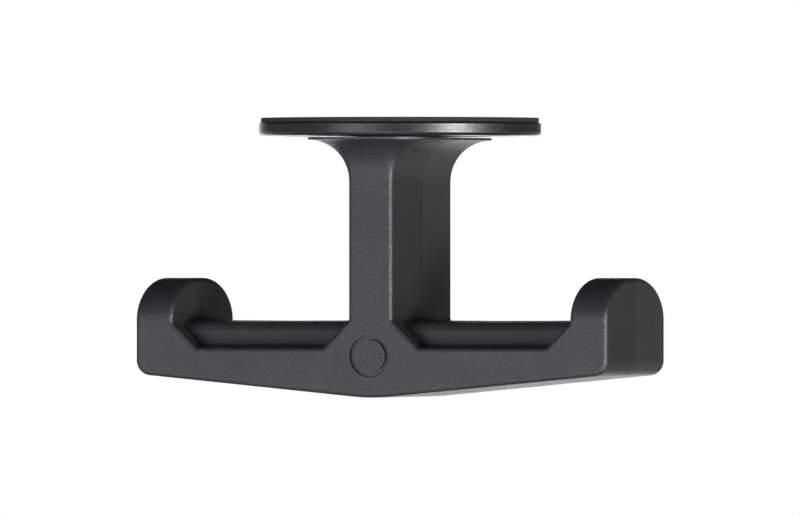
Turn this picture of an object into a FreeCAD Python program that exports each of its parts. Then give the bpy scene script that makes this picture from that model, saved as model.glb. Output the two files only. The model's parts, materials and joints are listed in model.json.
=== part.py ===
import FreeCAD, Part
import os
from math import cos, pi, sin, sqrt, tan

# Under-desk headphone hook: a round base fixed to the underside of a desk, and a double-sided
# hook that swivels below it. Millimetres, +Z up. The origin is the centre of the face that
# meets the desk, so the hook hangs down to negative Z. X runs along the two arms, and the
# front of the hook faces -Y.

V = FreeCAD.Vector
UP = V(0, 0, 1)
DEEP = V(0, 1, 0)

# Base
PAD_R = 29.6             # adhesive pad
PAD_T = 1.0
DISC_R = 30.0            # base disc
DISC_T = 2.9
DISC_TOP_EDGE = 0.4
DISC_LOW_EDGE = 0.9
DESK_SCREW_X = 22.0      # two screw holes, one each side of the hook
DESK_SCREW_R = 2.1
DESK_SCREW_HEAD_R = 4.2
DESK_SCREW_HEAD_H = 2.1
SWIVEL_GAP = 0.3         # air between the disc and the turning hook

# Hook, outside
DEPTH = 35.9
STEM_W = 9.9
FLARE_R = 8.8            # concave flare at the top of the stem
FLARE_LIP = 0.5
EDGE_R = 1.0             # rounding of the front and rear outlines
GUSSET_Z = -42.9         # where the 45 degree gusset leaves the stem
NOTCH_Z = -48.7          # straight edge between gusset and tip
NOTCH_OUT_X = 39.7
TIP_IN_X = 45.0          # upturned tip
TIP_OUT_X = 53.4
TIP_TOP_Z = -34.0
DOME_RISE = 8.9          # half height of the ellipse that domes the tip
DOME_FLAT = 2.1          # half width of the flat on top of the dome
NOTCH_R = 1.0
BOTTOM_Z = -59.5         # lowest point of the V-shaped underside
BOTTOM_SLOPE = 0.095
BOTTOM_APEX_R = 40.0
END_CORNER_R = 3.2
SEAM = 0.1               # each shell stops this far from the middle plane
DIMPLE_R = 4.6           # plain round recess in the middle of the front
DIMPLE_RIM_R = 3.4
DIMPLE_DEPTH = 0.8
DIMPLE_Z = -50.5

# Saddle
RIM_T = 4.3              # rims in front of and behind the saddle pads
TRAY_Z = -49.5           # floor that the pads sit on
TRAY_T = 1.2
CREST_Z = -42.9          # top of the pad
PAD_CROWN = 0.45         # how much lower the top is at its shoulders
PAD_CROWN_R = 60.0
PAD_SHOULDER_R = 2.4
PAD_FLANK_Y = 12.2       # foot of the pad's steep flank
PAD_FLANK_LEAN = 0.9
PAD_FOOT_Z = -48.8
PAD_FOOT_R = 1.2
PAD_GAP = 0.1

# Hook, inside
WALL = 1.8
STEM_CAVITY_X = 3.0
STEM_CAVITY_FOOT = 4.0   # above the underside
BAR_WALL = 1.5
BAR_CORNER_R = 1.5
TIP_CAVITY_X = 2.35
TIP_CAVITY_TOP_Z = -38.3
TIP_CAVITY_Y = 9.0
PLATE_T = 4.0            # steel core plate, standing in the middle plane
PLATE_STEM_X = 2.7
PLATE_TOP_Z = -16.2
PLATE_ARM_TOP_Z = -51.0
PLATE_FOOT = 1.75        # height of the plate's lower edge above the underside
PLATE_TIP_X = 1.9
PLATE_INNER_R = 0.4
PLATE_OUTER_R = 1.5
POCKET_PLAY = 0.2        # round the parts that stand in pockets
EYE_R = 2.7
EYE_HOLE_R = 1.5
SCREW_POINTS = ((0.0, -33.0), (0.0, -52.8), (49.2, -46.2), (-49.2, -46.2))
SCREW_R = 1.22
SCREW_HEAD_R = 2.1
SCREW_HEAD_H = 1.7
SCREW_HEAD_EDGE = 0.5
SCREW_SEAT_Y = 15.0
SCREW_END_Y = -7.2
DRIVE_R = 0.9
DRIVE_DEPTH = 1.0
BOSS_R = 2.6
BOSS_HEAD_R = 3.4
BOSS_PLAY = 0.03         # between each boss and the core plate
BOSS_HEAD_Y = 12.6
SHANK_HOLE_R = 1.45
HEAD_HOLE_R = 2.35
CAP_R = 2.3
CAP_T = 0.9
CAP_SINK = 0.1
CAP_EDGE = 0.2
INSERT_R = 1.9
INSERT_BORE_R = 1.25
INSERT_LENGTH = 5.0
INSERT_START_Y = -2.2

# Swivel
BOLT_R = 2.0
BOLT_HEAD_R = 4.4
BOLT_HEAD_H = 2.4
BOLT_THREAD_R = 1.5
BOLT_END_Z = -13.7
HEX_R = 1.45
HEX_DEPTH = 1.3
RUNNING_FIT = 0.05
BUSH_R = 2.55
BUSH_FLANGE_R = 6.0
FACE_FIT = 0.05
YOKE_X = 4.2             # half width of the yoke's bridge
YOKE_Y = 9.0
YOKE_TOP_Z = -4.9
YOKE_BRIDGE_T = 3.5
YOKE_LEG_X = 2.7
YOKE_LEG_Y = 7.0
YOKE_WINDOW_Y = 3.7      # window for the nut
YOKE_WINDOW_Z = -14.3
YOKE_END_Z = -25.0
YOKE_PIN_Z = (-19.0, -22.6)
YOKE_PIN_R = 1.25
YOKE_PIN_SINK = 0.2      # each end of a pin, below the yoke's side
NUT_FLATS = 5.5
NUT_H = 3.5
NUT_TOP_Z = -9.75
NUT_ROOM_R = 3.55
WASHER_R = 3.1
WASHER_HOLE_R = 1.65
WASHER_T = 0.5
SPRING_T = 0.35
SPRING_RISE = 0.35
HEX_SIDES = 6

# Worked out from the above
DISC_LOW_Z = -PAD_T - DISC_T
HOOK_TOP_Z = DISC_LOW_Z - SWIVEL_GAP
NECK_Z = HOOK_TOP_Z - FLARE_LIP - FLARE_R
HALF_DEPTH = DEPTH / 2
HALF_STEM = STEM_W / 2
RIM_IN_Y = HALF_DEPTH - RIM_T
YOKE_LOW_Z = YOKE_TOP_Z - YOKE_BRIDGE_T
SIDES = (1, -1)
ROOM = 100.0             # longer than anything that it cuts
OVER = 1.0               # how far a cutter runs past what it cuts
NEAR = 1e-3              # closeness that counts as level when edges are picked


def block(x0, x1, y0, y1, z0, z1):
    return Part.makeBox(x1 - x0, y1 - y0, z1 - z0, V(x0, y0, z0))


def post(radius, low, high, x=0.0, y=0.0):
    """Upright cylinder between two heights."""
    return Part.makeCylinder(radius, high - low, V(x, y, low), UP)


def rod(radius, y0, y1, x, z):
    """Cylinder lying along Y between two depths."""
    return Part.makeCylinder(radius, y1 - y0, V(x, y0, z), DEEP)


def joined(shapes):
    return shapes[0].multiFuse(shapes[1:]).removeSplitter()


def solid_of(shape):
    """The one solid of a shape, so that each node holds plain solids."""
    return shape.Solids[0] if len(shape.Solids) == 1 else Part.makeCompound(shape.Solids)


def rounded_face(corners):
    """Face in the XZ plane from (x, z, radius) corners, each rounded by its radius."""
    points = [V(x, 0, z) for x, z, radius in corners]
    ends = []
    arcs = []
    for i, (x, z, radius) in enumerate(corners):
        corner = points[i]
        if radius == 0:
            ends.append((corner, corner))
            arcs.append(None)
            continue
        back = (points[i - 1] - corner).normalize()
        ahead = (points[(i + 1) % len(points)] - corner).normalize()
        half = back.getAngle(ahead) / 2
        inward = (back + ahead).normalize()
        start = corner + back * (radius / tan(half))
        end = corner + ahead * (radius / tan(half))
        middle = corner + inward * (radius / sin(half) - radius)
        ends.append((start, end))
        arcs.append(Part.Arc(start, middle, end).toShape())
    edges = []
    for i, arc in enumerate(arcs):
        if arc:
            edges.append(arc)
        edges.append(Part.makeLine(ends[i][1], ends[(i + 1) % len(ends)][0]))
    return Part.Face(Part.Wire(edges))


def deep_prism(face, half_depth):
    """An XZ face made as deep as given, about the middle plane."""
    moved = face.copy()
    moved.translate(V(0, -half_depth, 0))
    return moved.extrude(V(0, 2 * half_depth, 0))


def bottom_z(x, lift=0.0):
    return BOTTOM_Z + BOTTOM_SLOPE * abs(x) + lift


# ---- outside of the hook

def hook_face():
    """Outline of stem, gussets, arms and tips below the flare."""
    gusset_x = HALF_STEM + GUSSET_Z - NOTCH_Z
    rise_z = NOTCH_Z + TIP_IN_X - NOTCH_OUT_X
    right = [
        (HALF_STEM, NECK_Z, 0),
        (HALF_STEM, GUSSET_Z, NOTCH_R),
        (gusset_x, NOTCH_Z, NOTCH_R),
        (NOTCH_OUT_X, NOTCH_Z, NOTCH_R),
        (TIP_IN_X, rise_z, NOTCH_R),
        (TIP_IN_X, TIP_TOP_Z, 0),
        (TIP_OUT_X, TIP_TOP_Z, 0),
        (TIP_OUT_X, bottom_z(TIP_OUT_X), END_CORNER_R),
    ]
    left = [(-x, z, radius) for x, z, radius in reversed(right)]
    return rounded_face(right + [(0, BOTTOM_Z, BOTTOM_APEX_R)] + left)


def dome_waste(side):
    """What is cut away above a tip, to leave its elliptical dome from front to rear."""
    dome_z = TIP_TOP_Z - DOME_RISE
    reach = HALF_DEPTH - DOME_FLAT
    x0 = (TIP_IN_X if side > 0 else -TIP_OUT_X) - OVER
    width = TIP_OUT_X - TIP_IN_X + 2 * OVER
    wide_y = HALF_DEPTH + OVER
    waste = block(x0, x0 + width, -wide_y, wide_y, dome_z, TIP_TOP_Z + OVER)
    kept = [block(x0, x0 + width, -DOME_FLAT, DOME_FLAT, dome_z - OVER, TIP_TOP_Z)]
    for end in SIDES:
        centre = V(x0, end * DOME_FLAT, dome_z)
        ellipse = Part.Ellipse(centre + V(0, reach, 0), centre + V(0, 0, DOME_RISE), centre)
        oval = Part.Face(Part.Wire([ellipse.toShape()]))
        kept.append(oval.extrude(V(width, 0, 0)))
    return waste.cut(joined(kept))


def is_outline_edge(edge):
    """True for an edge of the front or rear outline, or round a dome, that gets rounded."""
    box = edge.BoundBox
    dome_z = TIP_TOP_Z - DOME_RISE
    at_face = abs(abs(box.YMin) - HALF_DEPTH) < NEAR and box.YLength < NEAR
    level = box.ZLength < NEAR
    if at_face:
        at_neck = level and abs(box.ZMin - NECK_Z) < NEAR
        at_dome = level and abs(box.ZMin - dome_z) < NEAR
        return not (at_neck or at_dome)
    on_tip_side = box.XLength < NEAR and abs(box.XMin) > TIP_IN_X - NEAR
    return on_tip_side and box.ZMin > dome_z - NEAR


def flare():
    """Concave flare from the stem to the base, the same all round, with rounded corners."""
    def profile(reach):
        low = V(reach, 0, NECK_Z)
        high = V(reach + FLARE_R, 0, NECK_Z + FLARE_R)
        middle = V(reach + FLARE_R * (1 - sqrt(0.5)), 0, NECK_Z + FLARE_R * sqrt(0.5))
        lip = V(high.x, 0, HOOK_TOP_Z)
        return [
            Part.makeLine(V(0, 0, NECK_Z), low),
            Part.Arc(low, middle, high).toShape(),
            Part.makeLine(high, lip),
            Part.makeLine(lip, V(0, 0, HOOK_TOP_Z)),
            Part.makeLine(V(0, 0, HOOK_TOP_Z), V(0, 0, NECK_Z)),
        ]

    pieces = []
    core_x = HALF_STEM - EDGE_R
    core_y = HALF_DEPTH - EDGE_R
    corner = Part.Face(Part.Wire(profile(EDGE_R))).revolve(V(0, 0, 0), UP, 360)
    for sx in SIDES:
        for sy in SIDES:
            turned = corner.copy()
            turned.translate(V(sx * core_x, sy * core_y, 0))
            pieces.append(turned)
    side = Part.Face(Part.Wire(profile(HALF_STEM)))
    side.translate(V(0, -core_y, 0))
    front = Part.Face(Part.Wire(profile(HALF_DEPTH)))
    front.rotate(V(0, 0, 0), UP, 90)
    front.translate(V(-core_x, 0, 0))
    for turn in (0, 180):
        for face, push in ((side, V(0, 2 * core_y, 0)), (front, V(2 * core_x, 0, 0))):
            piece = face.extrude(push)
            piece.rotate(V(0, 0, 0), UP, turn)
            pieces.append(piece)
    return joined(pieces)


def hook_outside():
    """Both shells as one full solid, with the trays for the pads cut in."""
    hook = deep_prism(hook_face(), HALF_DEPTH)
    for side in SIDES:
        hook = hook.cut(dome_waste(side))
    hook = hook.makeFillet(EDGE_R, [edge for edge in hook.Edges if is_outline_edge(edge)])
    hook = joined([hook, flare()])
    for side in SIDES:
        x0, x1 = sorted((side * HALF_STEM, side * TIP_IN_X))
        hook = hook.cut(block(x0, x1, -RIM_IN_Y, RIM_IN_Y, TRAY_Z, GUSSET_Z + NOTCH_R))
    return hook


# ---- inside of the hook

def bar_hollow():
    top_z = TRAY_Z - TRAY_T
    end_x = TIP_OUT_X - BAR_WALL
    corners = [
        (end_x, top_z, 0),
        (end_x, bottom_z(end_x, BAR_WALL), BAR_CORNER_R),
        (0, bottom_z(0, BAR_WALL), 0),
        (-end_x, bottom_z(end_x, BAR_WALL), BAR_CORNER_R),
        (-end_x, top_z, 0),
    ]
    return deep_prism(rounded_face(corners), HALF_DEPTH - WALL)


def tip_hollow(side):
    middle = side * (TIP_IN_X + TIP_OUT_X) / 2
    x0, x1 = middle - TIP_CAVITY_X, middle + TIP_CAVITY_X
    low_z = TRAY_Z - TRAY_T - OVER
    return block(x0, x1, -TIP_CAVITY_Y, TIP_CAVITY_Y, low_z, TIP_CAVITY_TOP_Z)


def swivel_room():
    """Pocket at the top of the stem for the yoke, the bush's flange and the nut."""
    room_x = YOKE_X + POCKET_PLAY
    room_y = YOKE_Y + POCKET_PLAY
    open_z = HOOK_TOP_Z + OVER
    bridge = block(-room_x, room_x, -room_y, room_y, YOKE_LOW_Z - POCKET_PLAY, open_z)
    flange = post(BUSH_FLANGE_R + POCKET_PLAY, YOKE_TOP_Z - POCKET_PLAY, open_z)
    nut = post(NUT_ROOM_R, YOKE_WINDOW_Z, YOKE_LOW_Z)
    return joined([bridge, flange, nut])


def boss(x, z):
    """Posts from the walls to the core plate, which each screw runs through."""
    end_y = PLATE_T / 2 + BOSS_PLAY
    front = rod(BOSS_R, -HALF_DEPTH, -end_y, x, z)
    rear = rod(BOSS_R, end_y, HALF_DEPTH, x, z)
    head = rod(BOSS_HEAD_R, BOSS_HEAD_Y, HALF_DEPTH, x, z)
    return [front, rear, head]


def hook_hollow():
    stem = block(-STEM_CAVITY_X, STEM_CAVITY_X, -HALF_DEPTH + WALL, HALF_DEPTH - WALL,
                 bottom_z(0, STEM_CAVITY_FOOT), YOKE_LOW_Z)
    hollow = joined([stem, bar_hollow()] + [tip_hollow(side) for side in SIDES])
    for x, z in SCREW_POINTS:
        for piece in boss(x, z):
            hollow = hollow.cut(piece)
    end_y = PLATE_T / 2 + BOSS_PLAY
    eye_room = [rod(EYE_R + POCKET_PLAY, -end_y, end_y, x, z) for x, z in SCREW_POINTS]
    return joined([hollow, swivel_room()] + eye_room)


def screw_holes():
    """Holes through the rear shell, and blind holes for the inserts in the front shell."""
    holes = []
    for x, z in SCREW_POINTS:
        holes.append(rod(SHANK_HOLE_R, 0, HALF_DEPTH, x, z))
        holes.append(rod(HEAD_HOLE_R, SCREW_SEAT_Y, HALF_DEPTH + OVER, x, z))
        holes.append(rod(INSERT_R, INSERT_START_Y - INSERT_LENGTH, 0, x, z))
    return holes


def dimple():
    """Plain ring-shaped recess in the middle of the front face."""
    front_y = -HALF_DEPTH - OVER
    floor_y = -HALF_DEPTH + DIMPLE_DEPTH
    outer = rod(DIMPLE_R, front_y, floor_y, 0, DIMPLE_Z)
    return outer.cut(rod(DIMPLE_RIM_R, front_y, floor_y, 0, DIMPLE_Z))


def half_space(side):
    y0, y1 = sorted((side * SEAM, side * ROOM))
    return block(-ROOM, ROOM, y0, y1, -ROOM, ROOM)


def shells():
    hollowed = hook_outside().cut(hook_hollow())
    hollowed = hollowed.cut(Part.makeCompound(screw_holes()))
    front = hollowed.common(half_space(-1)).cut(dimple())
    rear = hollowed.common(half_space(1))
    return front, rear


def saddle_pad(side):
    """Soft pad, level along the arm: a gently crowned top, steep flanks and a fillet at their foot."""
    half_y = RIM_IN_Y - PAD_GAP
    near = [
        (half_y, TRAY_Z, 0),
        (half_y, PAD_FOOT_Z, 0),
        (PAD_FLANK_Y, PAD_FOOT_Z, PAD_FOOT_R),
        (PAD_FLANK_Y - PAD_FLANK_LEAN, CREST_Z - PAD_CROWN, PAD_SHOULDER_R),
    ]
    far = [(-y, z, radius) for y, z, radius in reversed(near)]
    section = rounded_face(near + [(0, CREST_Z, PAD_CROWN_R)] + far)
    section.rotate(V(0, 0, 0), UP, 90)
    section.translate(V(HALF_STEM + PAD_GAP, 0, 0))
    pad = section.extrude(V(TIP_IN_X - HALF_STEM - 2 * PAD_GAP, 0, 0))
    return pad if side > 0 else pad.mirror(V(0, 0, 0), V(1, 0, 0))


# ---- core

def core_plate():
    """Steel T-plate with an eye at each screw, standing on edge between the shells."""
    tip_x = SCREW_POINTS[2][0]
    eye_z = SCREW_POINTS[2][1]
    end_x = tip_x + PLATE_TIP_X
    right = [
        (PLATE_STEM_X, PLATE_TOP_Z, 0),
        (PLATE_STEM_X, PLATE_ARM_TOP_Z, PLATE_INNER_R),
        (tip_x - PLATE_TIP_X, PLATE_ARM_TOP_Z, PLATE_INNER_R),
        (tip_x - PLATE_TIP_X, eye_z, 0),
        (end_x, eye_z, 0),
        (end_x, bottom_z(end_x, PLATE_FOOT), PLATE_OUTER_R),
    ]
    left = [(-x, z, radius) for x, z, radius in reversed(right)]
    face = rounded_face(right + [(0, bottom_z(0, PLATE_FOOT), 0)] + left)
    plate = deep_prism(face, PLATE_T / 2)
    half = PLATE_T / 2
    eyes = [rod(EYE_R, -half, half, x, z) for x, z in SCREW_POINTS if x]
    plate = joined([plate] + eyes)
    for x, z in SCREW_POINTS:
        plate = plate.cut(rod(EYE_HOLE_R, -half, half, x, z))
    for z in YOKE_PIN_Z:
        plate = plate.cut(rod(YOKE_PIN_R, -half, half, 0, z))
    return plate


def swivel_yoke():
    """Die-cast yoke: bridge round the pivot bolt, legs past the nut, fork round the plate."""
    bridge = block(-YOKE_X, YOKE_X, -YOKE_Y, YOKE_Y, YOKE_LOW_Z, YOKE_TOP_Z)
    leg = block(-YOKE_LEG_X, YOKE_LEG_X, -YOKE_LEG_Y, YOKE_LEG_Y, YOKE_END_Z, YOKE_LOW_Z)
    yoke = joined([bridge, leg])
    window = block(-YOKE_X, YOKE_X, -YOKE_WINDOW_Y, YOKE_WINDOW_Y, YOKE_WINDOW_Z, YOKE_LOW_Z)
    half_slot = PLATE_T / 2 + RUNNING_FIT
    slot = block(-YOKE_X, YOKE_X, -half_slot, half_slot, YOKE_END_Z, PLATE_TOP_Z + RUNNING_FIT)
    yoke = yoke.cut(window).cut(slot).cut(post(BUSH_R, YOKE_LOW_Z, YOKE_TOP_Z))
    for z in YOKE_PIN_Z:
        yoke = yoke.cut(rod(YOKE_PIN_R, -YOKE_LEG_Y, YOKE_LEG_Y, 0, z))
    return yoke


def yoke_pins():
    end_y = YOKE_LEG_Y - YOKE_PIN_SINK
    return Part.makeCompound([rod(YOKE_PIN_R, -end_y, end_y, 0, z) for z in YOKE_PIN_Z])


def pivot_bush():
    """Flanged bush: its flange is the thrust face between yoke and base disc."""
    flange = post(BUSH_FLANGE_R, YOKE_TOP_Z, DISC_LOW_Z - FACE_FIT)
    sleeve = post(BUSH_R, YOKE_LOW_Z, YOKE_TOP_Z)
    return joined([flange, sleeve]).cut(post(BOLT_R + RUNNING_FIT, YOKE_LOW_Z, DISC_LOW_Z))


def shell_screws():
    screws = []
    for x, z in SCREW_POINTS:
        head = rod(SCREW_HEAD_R, SCREW_SEAT_Y, SCREW_SEAT_Y + SCREW_HEAD_H, x, z)
        head = head.makeFillet(SCREW_HEAD_EDGE, [head.Edges[0]])
        drive_y = SCREW_SEAT_Y + SCREW_HEAD_H - DRIVE_DEPTH
        drive = rod(DRIVE_R, drive_y, drive_y + 2 * DRIVE_DEPTH, x, z)
        shank = rod(SCREW_R, SCREW_END_Y, SCREW_SEAT_Y, x, z)
        screws.append(joined([head, shank]).cut(drive))
    return Part.makeCompound(screws)


def thread_inserts():
    inserts = []
    end_y = INSERT_START_Y - INSERT_LENGTH
    for x, z in SCREW_POINTS:
        body = rod(INSERT_R, end_y, INSERT_START_Y, x, z)
        inserts.append(body.cut(rod(INSERT_BORE_R, end_y, INSERT_START_Y, x, z)))
    return Part.makeCompound(inserts)


def screw_caps():
    outer_y = HALF_DEPTH - CAP_SINK
    caps = []
    for x, z in SCREW_POINTS:
        cap = rod(CAP_R, outer_y - CAP_T, outer_y, x, z)
        outer_rim = [edge for edge in cap.Edges if edge.BoundBox.YMin > outer_y - NEAR]
        caps.append(cap.makeChamfer(CAP_EDGE, outer_rim))
    return Part.makeCompound(caps)


# ---- base

def desk_screw_holes(low, high):
    return [post(DESK_SCREW_R, low, high, side * DESK_SCREW_X) for side in SIDES]


def adhesive_pad():
    pad = post(PAD_R, -PAD_T, 0)
    for hole in desk_screw_holes(-PAD_T, 0) + [post(BOLT_HEAD_R, -PAD_T, 0)]:
        pad = pad.cut(hole)
    return pad


def base_disc():
    """Round disc with a sunk seat for the pivot bolt and two sunk desk screw holes."""
    top = -PAD_T
    disc = post(DISC_R, DISC_LOW_Z, top)
    low_rim = [edge for edge in disc.Edges if edge.BoundBox.ZMax < DISC_LOW_Z + NEAR]
    disc = disc.makeFillet(DISC_LOW_EDGE, low_rim)
    top_rim = [edge for edge in disc.Edges if edge.BoundBox.ZMin > top - NEAR]
    disc = disc.makeFillet(DISC_TOP_EDGE, top_rim)
    for hole in desk_screw_holes(DISC_LOW_Z, top) + [post(BOLT_R, DISC_LOW_Z, top)]:
        disc = disc.cut(hole)
    for side in SIDES:
        sink = Part.makeCone(DESK_SCREW_HEAD_R, DESK_SCREW_R, DESK_SCREW_HEAD_H,
                             V(side * DESK_SCREW_X, 0, DISC_LOW_Z), UP)
        disc = disc.cut(sink)
    return disc.cut(Part.makeCone(BOLT_R, BOLT_HEAD_R, BOLT_HEAD_H, V(0, 0, top - BOLT_HEAD_H), UP))


def pivot_bolt():
    top = -PAD_T
    head = Part.makeCone(BOLT_R, BOLT_HEAD_R, BOLT_HEAD_H, V(0, 0, top - BOLT_HEAD_H), UP)
    shank = post(BOLT_R, YOKE_LOW_Z + FACE_FIT, top - BOLT_HEAD_H)
    thread = post(BOLT_THREAD_R, BOLT_END_Z, YOKE_LOW_Z + FACE_FIT)
    drive = post(HEX_R, top - HEX_DEPTH, top)
    return joined([head, shank, thread]).cut(drive)


def spring_washer():
    """Dished spring washer that keeps the swivel snug."""
    top = YOKE_LOW_Z - FACE_FIT
    corners = [
        V(WASHER_HOLE_R, 0, top),
        V(WASHER_R, 0, top - SPRING_RISE),
        V(WASHER_R, 0, top - SPRING_RISE - SPRING_T),
        V(WASHER_HOLE_R, 0, top - SPRING_T),
    ]
    return Part.Face(Part.makePolygon(corners + [corners[0]])).revolve(V(0, 0, 0), UP, 360)


def flat_washer():
    low = NUT_TOP_Z + FACE_FIT
    washer = post(WASHER_R, low, low + WASHER_T)
    return washer.cut(post(WASHER_HOLE_R, low, low + WASHER_T))


def lock_nut():
    corner_r = NUT_FLATS / 2 / cos(pi / HEX_SIDES)
    corners = []
    for i in range(HEX_SIDES + 1):
        corner = V(corner_r, 0, NUT_TOP_Z - NUT_H)
        corners.append(FreeCAD.Rotation(UP, 360 / HEX_SIDES * i).multVec(corner))
    nut = Part.Face(Part.makePolygon(corners)).extrude(V(0, 0, NUT_H))
    return nut.cut(post(BOLT_THREAD_R, NUT_TOP_Z - NUT_H, NUT_TOP_Z))


def main():
    os.makedirs("parts", exist_ok=True)
    front, rear = shells()
    nodes = {
        "adhesive_pad": adhesive_pad(),
        "base_disc": base_disc(),
        "pivot_bolt": pivot_bolt(),
        "spring_washer": spring_washer(),
        "flat_washer": flat_washer(),
        "lock_nut": lock_nut(),
        "pivot_bush": pivot_bush(),
        "swivel_yoke": swivel_yoke(),
        "yoke_pins": yoke_pins(),
        "core_plate": core_plate(),
        "front_shell": front,
        "rear_shell": rear,
        "saddle_pad_right": saddle_pad(1),
        "saddle_pad_left": saddle_pad(-1),
        "shell_screws": shell_screws(),
        "thread_inserts": thread_inserts(),
        "screw_caps": screw_caps(),
    }
    for name, shape in nodes.items():
        solid = solid_of(shape)
        print(name, "solids", len(solid.Solids), "valid", solid.isValid(), "mm3", round(solid.Volume, 1))
        solid.exportStep("parts/" + name + ".step")


main()
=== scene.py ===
import json
import math
import bmesh
import bpy
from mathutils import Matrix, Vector, noise


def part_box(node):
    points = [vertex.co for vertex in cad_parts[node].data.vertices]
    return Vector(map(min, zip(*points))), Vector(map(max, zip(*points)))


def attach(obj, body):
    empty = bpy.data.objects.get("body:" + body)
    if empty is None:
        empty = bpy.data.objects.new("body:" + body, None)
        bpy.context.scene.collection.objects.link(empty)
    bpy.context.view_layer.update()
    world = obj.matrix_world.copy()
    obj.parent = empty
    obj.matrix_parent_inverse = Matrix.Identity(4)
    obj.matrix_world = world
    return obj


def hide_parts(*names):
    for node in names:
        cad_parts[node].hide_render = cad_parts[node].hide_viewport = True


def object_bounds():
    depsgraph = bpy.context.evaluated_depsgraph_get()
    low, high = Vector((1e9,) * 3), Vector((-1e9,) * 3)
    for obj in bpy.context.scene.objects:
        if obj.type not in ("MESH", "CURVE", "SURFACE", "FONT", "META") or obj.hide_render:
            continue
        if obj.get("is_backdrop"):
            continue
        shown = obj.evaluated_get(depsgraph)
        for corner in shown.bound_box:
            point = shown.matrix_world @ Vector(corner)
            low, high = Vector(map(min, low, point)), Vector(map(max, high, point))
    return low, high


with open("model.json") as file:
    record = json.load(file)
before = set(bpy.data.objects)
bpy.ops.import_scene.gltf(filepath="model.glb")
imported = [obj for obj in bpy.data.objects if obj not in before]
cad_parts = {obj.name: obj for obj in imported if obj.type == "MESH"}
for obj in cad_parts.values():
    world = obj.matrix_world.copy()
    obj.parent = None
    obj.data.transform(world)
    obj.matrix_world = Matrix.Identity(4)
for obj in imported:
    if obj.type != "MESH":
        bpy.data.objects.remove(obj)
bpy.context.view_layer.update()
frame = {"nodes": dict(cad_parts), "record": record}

# Under-desk headphone hook, in metres, in the frame of the CAD model: the origin is the centre
# of the face that meets the desk, X runs along the arms and the front of the hook faces -Y.

MM = 0.001

# Camera
VIEW_AZIMUTH = 21.0        # degrees to the right of the hook's own front
VIEW_ELEVATION = 0.0
VIEW_DISTANCE = 3.4
VIEW_LENS = 720.0

# Room
FLOOR_Z = -3.0
FLOOR_R = 8.0
FLOOR_STEPS = 96
FLOOR_TONES = (0.80, 0.80, 0.79), (0.84, 0.84, 0.83)
FLOOR_GLOW = 0.85
LIGHT_AIM = Vector((0, 0, -0.035))     # about the middle of the hook
FRONT_TINT = (0.98, 0.955, 1.04)
WORLD_BLUE = 1.02                      # how much bluer than grey the world's light is
WORLD_LEVELS = (                       # light level by height: 0 is straight down, 0.5 level, 1 up
    (0.0, 0.06),
    (0.20, 0.22),
    (0.34, 0.52),
    (0.46, 0.45),
    (0.49, 0.30),
    (0.50, 0.08),
    (0.65, 0.04),
    (1.0, 0.09),
)


# ---- node helpers

BEVEL_SAMPLES = 6
EDGE_COSINE = 0.75         # between true and bevelled normal, where an edge counts in full
MOST_NOISE = (0.3, 0.7)    # the range that most of a noise lies in
MID_NOISE = (0.35, 0.65)


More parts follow.
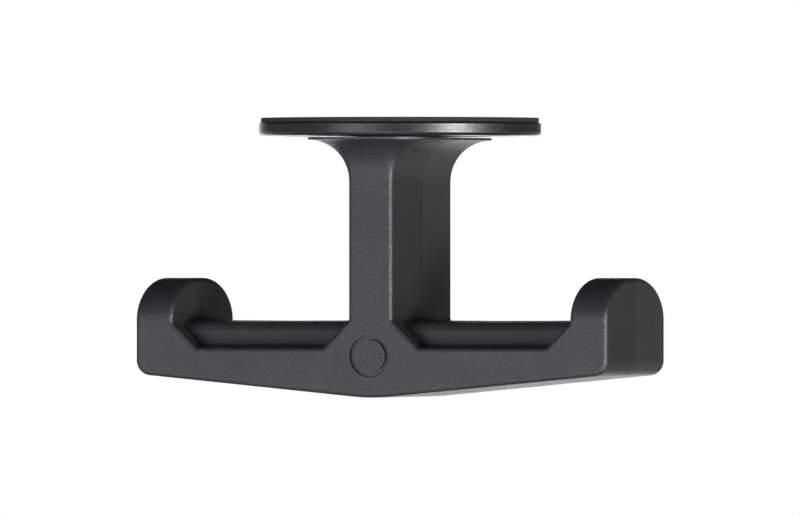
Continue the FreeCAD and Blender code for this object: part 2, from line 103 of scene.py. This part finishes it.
class Shader:
    """A new material with its Principled shader, and short ways to add and join nodes."""

    def __init__(self, name):
        self.mat = bpy.data.materials.new(name)
        self.mat.use_nodes = True
        self.tree = self.mat.node_tree
        self.bsdf = self.tree.nodes["Principled BSDF"]
        self.place = self.add("ShaderNodeTexCoord").outputs["Object"]

    def add(self, kind, **settings):
        node = self.tree.nodes.new(kind)
        for key, value in settings.items():
            setattr(node, key, value)
        return node

    def link(self, source, target):
        self.tree.links.new(source, target)

    def noise(self, size, detail=4.0, roughness=0.55, stretch=(1, 1, 1)):
        """Noise with features about `size` metres across."""
        scaled = self.add("ShaderNodeMapping")
        scaled.inputs["Scale"].default_value = stretch
        self.link(self.place, scaled.inputs["Vector"])
        node = self.add("ShaderNodeTexNoise")
        node.inputs["Scale"].default_value = 1 / size
        node.inputs["Detail"].default_value = detail
        node.inputs["Roughness"].default_value = roughness
        self.link(scaled.outputs["Vector"], node.inputs["Vector"])
        return node.outputs["Fac"]

    def cells(self, size):
        """Distance to the nearest of scattered points, about `size` metres apart."""
        node = self.add("ShaderNodeTexVoronoi")
        node.inputs["Scale"].default_value = 1 / size
        self.link(self.place, node.inputs["Vector"])
        return node.outputs["Distance"]

    def span(self, value, low, high, to_low=0.0, to_high=1.0):
        """Maps a value from low..high to to_low..to_high, with the ends held."""
        node = self.add("ShaderNodeMapRange")
        node.inputs["From Min"].default_value = low
        node.inputs["From Max"].default_value = high
        node.inputs["To Min"].default_value = to_low
        node.inputs["To Max"].default_value = to_high
        self.link(value, node.inputs["Value"])
        return node.outputs["Result"]

    def fill(self, socket, value):
        """Sets a socket to a number or a colour, or joins it to another node's output."""
        if isinstance(value, bpy.types.NodeSocket):
            self.link(value, socket)
        elif isinstance(value, tuple):
            socket.default_value = (*value, 1)
        else:
            socket.default_value = value

    def math(self, operation, first, second):
        node = self.add("ShaderNodeMath", operation=operation)
        self.fill(node.inputs[0], first)
        self.fill(node.inputs[1], second)
        return node.outputs["Value"]

    def colour(self, amount, first, second):
        """Colour that runs from first to second with amount."""
        node = self.add("ShaderNodeMix", data_type="RGBA")
        self.link(amount, node.inputs["Factor"])
        self.fill(node.inputs["A"], first)
        self.fill(node.inputs["B"], second)
        return node.outputs["Result"]

    def edges(self, radius):
        """1 along the rounded edges, 0 on the flats: where the bevelled normal leaves the true one."""
        bevel = self.add("ShaderNodeBevel", samples=BEVEL_SAMPLES)
        bevel.inputs["Radius"].default_value = radius
        true = self.add("ShaderNodeNewGeometry")
        dot = self.add("ShaderNodeVectorMath", operation="DOT_PRODUCT")
        self.link(bevel.outputs["Normal"], dot.inputs[0])
        self.link(true.outputs["Normal"], dot.inputs[1])
        return self.span(dot.outputs["Value"], 1.0, EDGE_COSINE)

    def bump(self, *layers):
        """Bump layers (height, depth in metres), one on top of the other."""
        normal = None
        for height, depth in layers:
            node = self.add("ShaderNodeBump")
            node.inputs["Strength"].default_value = 1.0
            node.inputs["Distance"].default_value = depth
            self.link(height, node.inputs["Height"])
            if normal:
                self.link(normal, node.inputs["Normal"])
            normal = node.outputs["Normal"]
        self.link(normal, self.bsdf.inputs["Normal"])

    def set(self, **values):
        for key, value in values.items():
            self.bsdf.inputs[key.replace("_", " ")].default_value = value
        return self

    def feed(self, socket, value):
        self.link(value, self.bsdf.inputs[socket])


# ---- materials

def moulded_plastic(name, dark, light, rub_and_sheen):
    """Charcoal plastic from a spark-eroded mould: fine even grain, a trace of mottling, and edges lightened
    both as rub wear and as a painted sheen.
    """
    s = Shader(name)
    grain = s.noise(0.30 * MM, detail=3.0, roughness=0.65)
    pits = s.cells(0.42 * MM)
    mottle = s.noise(9 * MM, detail=3.0, roughness=0.5)
    patches = s.span(s.noise(2.5 * MM), 0.38, 0.62)
    # Rounded edges in patches: rub wear, and also a painted sheen that lightens and smooths them.
    wear_and_sheen = s.math("MULTIPLY", s.edges(0.9 * MM), patches)
    base = s.colour(s.span(mottle, *MID_NOISE), dark, light)
    # The rub tone lightens the grain specks, and on the edges it is painted sheen as well as rub wear.
    speckled = s.colour(s.span(grain, 0.52, 0.74, 0.0, 0.45), base, rub_and_sheen)
    s.feed("Base Color", s.colour(s.math("MULTIPLY", wear_and_sheen, 0.45), speckled, rub_and_sheen))
    smear = s.span(s.noise(22 * MM, detail=2.0, roughness=0.5, stretch=(1, 1, 1.8)), *MOST_NOISE, 0.50, 0.54)
    rough = s.math("ADD", smear, s.span(grain, *MOST_NOISE, -0.03, 0.03))
    s.feed("Roughness", s.math("SUBTRACT", rough, s.math("MULTIPLY", wear_and_sheen, 0.08)))
    s.bump((grain, 0.080 * MM), (pits, 0.055 * MM))
    return s.set(Specular_IOR_Level=0.36).mat


def disc_paint():
    """Satin black powder coat with fine orange peel, and a rim lightened both as a little polish wear and as
    a painted sheen.
    """
    s = Shader("disc_paint")
    peel = s.noise(0.7 * MM, detail=2.0, roughness=0.4)
    grit = s.noise(0.12 * MM, detail=2.0, roughness=0.6)
    patches = s.span(s.noise(3 * MM), 0.4, 0.6)
    # Rounded edges in patches: polish wear, and also a painted sheen that lightens the rim.
    wear_and_sheen = s.math("MULTIPLY", s.edges(0.6 * MM), patches)
    mottle = s.span(s.noise(12 * MM), *MID_NOISE)
    base = s.colour(mottle, (0.014, 0.014, 0.016), (0.020, 0.020, 0.022))
    s.feed("Base Color", s.colour(s.math("MULTIPLY", wear_and_sheen, 0.35), base, (0.06, 0.06, 0.066)))
    rough = s.span(peel, *MOST_NOISE, 0.34, 0.42)
    s.feed("Roughness", s.math("SUBTRACT", rough, s.math("MULTIPLY", wear_and_sheen, 0.06)))
    s.bump((peel, 0.035 * MM), (grit, 0.012 * MM))
    return s.set(Specular_IOR_Level=0.36).mat


def pad_silicone():
    """Soft matt silicone, a little velvety at grazing angles, with bloom and lint on it."""
    s = Shader("pad_silicone")
    grain = s.noise(0.22 * MM, detail=3.0, roughness=0.6)
    bloom = s.noise(7 * MM)
    lint = s.noise(1.1 * MM, detail=5.0, roughness=0.7, stretch=(0.25, 1, 1))
    base = s.colour(s.span(bloom, *MOST_NOISE), (0.024, 0.024, 0.026), (0.033, 0.033, 0.036))
    s.feed("Base Color", s.colour(s.span(lint, 0.64, 0.78, 0.0, 0.3), base, (0.085, 0.085, 0.09)))
    s.feed("Roughness", s.span(bloom, *MOST_NOISE, 0.50, 0.60))
    s.bump((grain, 0.035 * MM), (bloom, 0.05 * MM))
    return s.set(Specular_IOR_Level=0.30, Sheen_Weight=0.02, Sheen_Roughness=0.5).mat


def foam_tape():
    """Closed-cell foam tape: small open cells along its cut rim, dull black."""
    s = Shader("foam_tape")
    cell = s.cells(0.32 * MM)
    fine = s.cells(0.14 * MM)
    s.feed("Base Color", s.colour(s.span(cell, 0.05, 0.5), (0.010, 0.010, 0.011), (0.034, 0.034, 0.036)))
    s.feed("Roughness", s.span(fine, 0.0, 0.6, 0.78, 0.95))
    s.bump((cell, 0.09 * MM), (fine, 0.04 * MM))
    return s.set(Specular_IOR_Level=0.3).mat


def cap_rubber():
    """Dull black rubber with a fine grain."""
    s = Shader("cap_rubber")
    grain = s.noise(0.2 * MM, detail=3.0)
    cloud = s.span(s.noise(2 * MM), *MOST_NOISE)
    s.feed("Base Color", s.colour(cloud, (0.018, 0.018, 0.019), (0.03, 0.03, 0.032)))
    s.feed("Roughness", s.span(grain, *MOST_NOISE, 0.6, 0.75))
    s.bump((grain, 0.03 * MM))
    return s.set(Specular_IOR_Level=0.4).mat


def metal(name, dark, light, rough, stretch, scratch=0.006 * MM):
    """Bare metal: tone and roughness vary along the working direction, with fine scratches."""
    s = Shader(name)
    lines = s.noise(0.25 * MM, roughness=0.6, stretch=stretch)
    stain = s.noise(4 * MM, roughness=0.6)
    base = s.colour(s.span(stain, *MOST_NOISE), dark, light)
    grime = tuple(0.7 * level for level in dark)
    s.feed("Base Color", s.colour(s.span(lines, 0.5, 0.75, 0.0, 0.4), base, grime))
    brushed = s.span(lines, *MOST_NOISE, rough - 0.06, rough + 0.06)
    s.feed("Roughness", s.math("ADD", brushed, s.span(stain, *MOST_NOISE, -0.04, 0.05)))
    s.bump((lines, scratch))
    return s.set(Metallic=1.0).mat


def acetal():
    """Natural white acetal, faintly cloudy."""
    s = Shader("acetal")
    cloud = s.noise(3 * MM, detail=3.0)
    s.feed("Base Color", s.colour(s.span(cloud, *MOST_NOISE), (0.70, 0.69, 0.65), (0.80, 0.79, 0.75)))
    s.feed("Roughness", s.span(cloud, *MOST_NOISE, 0.28, 0.4))
    s.bump((s.noise(0.3 * MM), 0.008 * MM))
    return s.set(Specular_IOR_Level=0.5).mat


def pale_floor():
    """Plain pale floor that gives off most of its own brightness, as no light is set up for it."""
    s = Shader("pale_floor")
    cloud = s.noise(0.6, detail=3.0)
    s.feed("Base Color", s.colour(s.span(cloud, *MOST_NOISE), *FLOOR_TONES))
    s.feed("Roughness", s.span(cloud, *MOST_NOISE, 0.7, 0.8))
    s.bump((s.noise(4 * MM), 0.1 * MM))
    s.feed("Emission Color", s.colour(s.span(cloud, *MOST_NOISE), *FLOOR_TONES))
    return s.set(Emission_Strength=FLOOR_GLOW).mat


# ---- pieces

def new_object(name, bm, material, smooth=True):
    bmesh.ops.recalc_face_normals(bm, faces=bm.faces)
    mesh = bpy.data.meshes.new(name)
    bm.to_mesh(mesh)
    bm.free()
    for polygon in mesh.polygons:
        polygon.use_smooth = smooth
    piece = bpy.data.objects.new(name, mesh)
    bpy.context.collection.objects.link(piece)
    piece.data.materials.append(material)
    return piece


def lofted(rings):
    """Closed mesh through rings of points that run along it, capped at both ends."""
    bm = bmesh.new()
    rows = [[bm.verts.new(point) for point in ring] for ring in rings]
    count = len(rows[0])
    for row, following in zip(rows, rows[1:]):
        for i in range(count):
            bm.faces.new((row[i], row[(i + 1) % count], following[(i + 1) % count], following[i]))
    bm.faces.new(rows[0])
    bm.faces.new(list(reversed(rows[-1])))
    return bm


SADDLE_LIP = 0.4 * MM      # how far the ends turn up the stem and the tip
SADDLE_LIP_RUN = 1.3 * MM
SADDLE_DISH = 0.10 * MM    # wear where the headband rests
SADDLE_FOOT = 0.7 * MM     # height of the foot that sits down in the tray
SADDLE_FOOT_IN = 1.1 * MM  # from the foot's side in to the flank
SADDLE_FOOT_R = 1.2 * MM
SADDLE_LEAN = 0.9 * MM
SADDLE_SHOULDER_R = 2.4 * MM
SADDLE_CROWN = 0.45 * MM
SADDLE_CROWN_R = 60 * MM
SADDLE_STEPS = 84
SADDLE_SPACING = 0.4 * MM
SADDLE_WAVE = 0.03 * MM    # height and size of slight unevenness
SADDLE_WAVE_SIZE = 6 * MM
ARC_STEPS = 10


def rounded_path(corners):
    """Points of an open path in a plane whose (across, up, radius) corners are rounded by arcs."""
    points = [Vector(corners[0][:2])]
    for before, corner, after in zip(corners, corners[1:], corners[2:]):
        at = Vector(corner[:2])
        radius = corner[2]
        if radius == 0:
            points.append(at)
            continue
        back = (Vector(before[:2]) - at).normalized()
        ahead = (Vector(after[:2]) - at).normalized()
        half = back.angle(ahead) / 2
        centre = at + (back + ahead).normalized() * (radius / math.sin(half))
        start = at + back * (radius / math.tan(half)) - centre
        end = at + ahead * (radius / math.tan(half)) - centre
        for i in range(ARC_STEPS + 1):
            points.append(centre + start.lerp(end, i / ARC_STEPS).normalized() * radius)
    return points + [Vector(corners[-1][:2])]


def evenly(points, spacing):
    """The same path with its longer runs divided, so that the surface can be shaped finely."""
    dense = [points[0]]
    for start, end in zip(points, points[1:]):
        pieces = max(1, math.ceil((end - start).length / spacing))
        dense += [start.lerp(end, i / pieces) for i in range(1, pieces + 1)]
    return dense


def saddle_section(low, high):
    """Outline of the pad from front to rear: foot, fillet, steep flank, shoulder and crown."""
    flank_y = high.y - SADDLE_FOOT_IN
    foot_z = low.z + SADDLE_FOOT
    near = [
        (high.y, low.z, 0),
        (high.y, foot_z, 0),
        (flank_y, foot_z, SADDLE_FOOT_R),
        (flank_y - SADDLE_LEAN, high.z - SADDLE_CROWN, SADDLE_SHOULDER_R),
    ]
    far = [(-y, z, radius) for y, z, radius in reversed(near)]
    return evenly(rounded_path(near + [(0, high.z, SADDLE_CROWN_R)] + far), SADDLE_SPACING)


def saddle_pad(side, material):
    """Silicone pad of one arm, a little dished in the middle, with turned-up ends."""
    node = "saddle_pad_" + side
    low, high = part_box(node)
    section = saddle_section(low, high)
    rings = []
    for i in range(SADDLE_STEPS + 1):
        along = 0.5 - 0.5 * math.cos(math.pi * i / SADDLE_STEPS)
        x = low.x + along * (high.x - low.x)
        from_end = min(x - low.x, high.x - x)
        lip = SADDLE_LIP * max(0.0, 1 - from_end / SADDLE_LIP_RUN) ** 2
        dish = SADDLE_DISH * math.sin(math.pi * along) ** 2
        ring = []
        for y, z in section:
            height = (z - low.z) / (high.z - low.z)
            wave = SADDLE_WAVE * noise.noise(Vector((x, y, z)) / SADDLE_WAVE_SIZE)
            ring.append(Vector((x, y, z + height ** 3 * (lip - dish + wave))))
        rings.append(ring)
    piece = new_object(node + "_soft", lofted(rings), material)
    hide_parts(node)
    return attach(piece, "hook")


PAD_RIM_STEPS = 240
PAD_RIM_PROFILE = (-0.16, -0.05, 0.0, -0.03, 0.0, -0.05, -0.16)    # mm out, from low to high
PAD_RIM_RAGGED = 0.10 * MM
RAGGED_ROUND = 9           # how fast the raggedness changes round the rim, and up it
RAGGED_UP = 900
CUTTER_STEPS = 64


def rim_point(angle, radius, z):
    """Point on the pad's rim, set in a little by its raggedness."""
    place = Vector((math.cos(angle) * RAGGED_ROUND, math.sin(angle) * RAGGED_ROUND, z * RAGGED_UP))
    reach = radius - abs(PAD_RIM_RAGGED * noise.noise(place))
    return Vector((reach * math.cos(angle), reach * math.sin(angle), z))


def ring_cutter(radius, x, low, high):
    """Upright round cutter for a hole in the pad."""
    angles = [2 * math.pi * i / CUTTER_STEPS for i in range(CUTTER_STEPS)]
    rings = [[(x + radius * math.cos(a), radius * math.sin(a), z) for a in angles] for z in (low, high)]
    return new_object("cutter", lofted(rings), bpy.data.materials["foam_tape"], smooth=False)


def foam_pad(material):
    """Foam tape disc: its cut rim bulges under load and is a little ragged."""
    low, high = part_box("adhesive_pad")
    bolt_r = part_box("pivot_bolt")[1].x
    screws = next(m for m in frame["record"]["mounts"] if m["name"] == "desk_screws")
    screw_x = screws["dims"]["spacing_x_mm"] * MM / 2
    screw_r = screws["dims"]["hole_r_mm"] * MM
    angles = [2 * math.pi * i / PAD_RIM_STEPS for i in range(PAD_RIM_STEPS)]
    rings = []
    for i, out in enumerate(PAD_RIM_PROFILE):
        z = low.z + (high.z - low.z) * i / (len(PAD_RIM_PROFILE) - 1)
        rings.append([rim_point(angle, high.x + out * MM, z) for angle in angles])
    pad = new_object("adhesive_pad_foam", lofted(rings), material, smooth=False)
    for radius, x in ((bolt_r, 0.0), (screw_r, screw_x), (screw_r, -screw_x)):
        cutter = ring_cutter(radius, x, low.z - MM, high.z + MM)
        cut = pad.modifiers.new("hole", "BOOLEAN")
        cut.operation = "DIFFERENCE"
        cut.solver = "EXACT"
        cut.object = cutter
        bpy.context.view_layer.update()
        graph = bpy.context.evaluated_depsgraph_get()
        holed = bpy.data.meshes.new_from_object(pad.evaluated_get(graph))
        pad.modifiers.clear()
        pad.data = holed
        bpy.data.objects.remove(cutter)
    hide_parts("adhesive_pad")
    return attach(pad, "base")


def paint(node, material):
    """Gives a CAD node its finished material."""
    piece = frame["nodes"][node]
    for slot in piece.material_slots:
        slot.material = material


# ---- room

def floor():
    """Round floor that is seen, but that neither lights the hook nor shows in it."""
    bm = bmesh.new()
    rim = []
    for i in range(FLOOR_STEPS):
        angle = 2 * math.pi * i / FLOOR_STEPS
        rim.append(bm.verts.new((FLOOR_R * math.cos(angle), FLOOR_R * math.sin(angle), FLOOR_Z)))
    bm.faces.new(rim)
    ground = new_object("floor", bm, pale_floor(), smooth=False)
    ground.visible_diffuse = False
    ground.visible_glossy = False
    ground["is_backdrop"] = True


def studio_world():
    """Soft light from all round below the hook's level, dim from above it as under a desk top.

    The camera sees plain white instead.
    """
    world = bpy.data.worlds.new("studio")
    bpy.context.scene.world = world
    world.use_nodes = True
    nodes = world.node_tree.nodes
    links = world.node_tree.links
    back = nodes["Background"]
    way = nodes.new("ShaderNodeTexCoord")
    parts = nodes.new("ShaderNodeSeparateXYZ")
    links.new(way.outputs["Generated"], parts.inputs["Vector"])
    ramp = nodes.new("ShaderNodeValToRGB")
    rise = nodes.new("ShaderNodeMapRange")
    rise.inputs["From Min"].default_value = -1
    rise.inputs["From Max"].default_value = 1
    links.new(parts.outputs["Z"], rise.inputs["Value"])
    links.new(rise.outputs["Result"], ramp.inputs["Fac"])
    while len(ramp.color_ramp.elements) < len(WORLD_LEVELS):
        ramp.color_ramp.elements.new(0.5)
    for stop, (position, level) in zip(ramp.color_ramp.elements, WORLD_LEVELS):
        stop.position = position
        stop.color = (level, level, level * WORLD_BLUE, 1)
    sight = nodes.new("ShaderNodeLightPath")
    shown = nodes.new("ShaderNodeMix")
    shown.data_type = "RGBA"
    links.new(sight.outputs["Is Camera Ray"], shown.inputs["Factor"])
    links.new(ramp.outputs["Color"], shown.inputs["A"])
    shown.inputs["B"].default_value = (1, 1, 1, 1)
    links.new(shown.outputs["Result"], back.inputs["Color"])


def looking_at(name, data, aim, azimuth, elevation, distance):
    """A light or camera that faces a point from a distance.

    The azimuth is in degrees to the right of the hook's front, the elevation in degrees up.
    """
    a = math.radians(azimuth)
    e = math.radians(elevation)
    way = Vector((math.sin(a) * math.cos(e), -math.cos(a) * math.cos(e), math.sin(e)))
    thing = bpy.data.objects.new(name, data)
    thing.location = aim + way * distance
    thing.rotation_mode = "QUATERNION"
    thing.rotation_quaternion = (-way).to_track_quat("-Z", "Y")
    bpy.context.collection.objects.link(thing)
    return thing


def softbox(name, azimuth, elevation, distance, size, power, tint=(1, 1, 1), gloss_only=False):
    """Square soft light, aimed at the middle of the hook, that the camera doesn't see."""
    light = bpy.data.lights.new(name, "AREA")
    light.size = size
    light.energy = power
    light.color = tint
    lamp = looking_at(name, light, LIGHT_AIM, azimuth, elevation, distance)
    lamp.visible_camera = False
    lamp.visible_diffuse = not gloss_only


def camera():
    low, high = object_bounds()
    lens = bpy.data.cameras.new("camera")
    lens.lens = VIEW_LENS
    middle = (low + high) / 2
    eye = looking_at("camera", lens, middle, VIEW_AZIMUTH, VIEW_ELEVATION, VIEW_DISTANCE)
    bpy.context.scene.camera = eye


# ---- scene

FINISHES = {
    "steel": metal("zinc_plated_steel", dark=(0.42, 0.42, 0.44), light=(0.60, 0.60, 0.62),
                   rough=0.32, stretch=(1, 1, 0.2)),
    "plate_steel": metal("core_plate_steel", dark=(0.30, 0.30, 0.32), light=(0.46, 0.46, 0.48),
                         rough=0.38, stretch=(0.15, 1, 1)),
    "zinc": metal("die_cast_zinc", dark=(0.48, 0.48, 0.50), light=(0.60, 0.60, 0.61),
                  rough=0.48, stretch=(1, 1, 1), scratch=0.02 * MM),
    "brass": metal("brass", dark=(0.62, 0.44, 0.18), light=(0.80, 0.62, 0.30),
                   rough=0.3, stretch=(1, 0.2, 1)),
    "acetal": acetal(),
    "disc_paint": disc_paint(),
    "cap_rubber": cap_rubber(),
    "pad_silicone": pad_silicone(),
    "foam_tape": foam_tape(),
}
# Lit and shaded copies of one plastic: the rear shell is painted lighter and the front shell darker. This
# stands in for the light and shade a slight draft on each half would give; the real mouldings are the same
# tone.
SHELL_LIT_AND_SHADED_TONES = {
    "front_shell": moulded_plastic("front_shell_plastic_painted_shade", dark=(0.024, 0.024, 0.027),
                                   light=(0.030, 0.030, 0.033), rub_and_sheen=(0.075, 0.075, 0.081)),
    "rear_shell": moulded_plastic("rear_shell_plastic_painted_light", dark=(0.044, 0.044, 0.047),
                                  light=(0.052, 0.052, 0.055), rub_and_sheen=(0.085, 0.085, 0.091)),
}

for subpart in frame["record"]["subparts"]:
    node = subpart["node"]
    paint(node, SHELL_LIT_AND_SHADED_TONES.get(node) or FINISHES[subpart["material_slot"]])
for side in ("right", "left"):
    saddle_pad(side, FINISHES["pad_silicone"])
foam_pad(FINISHES["foam_tape"])

floor()
studio_world()
softbox("front", azimuth=-16, elevation=-6, distance=1.8, size=1.0, power=19.5, tint=FRONT_TINT)
softbox("front_low", azimuth=4, elevation=-30, distance=0.34, size=0.16, power=0.42, tint=FRONT_TINT)
softbox("right", azimuth=82, elevation=-10, distance=1.8, size=0.9, power=4.5)
softbox("rear", azimuth=205, elevation=-8, distance=1.8, size=1.2, power=14.0)
softbox("edge_strip", azimuth=66, elevation=-8, distance=1.6, size=0.35, power=85.0, gloss_only=True)
camera()

bpy.context.scene.view_settings.view_transform = "Standard"
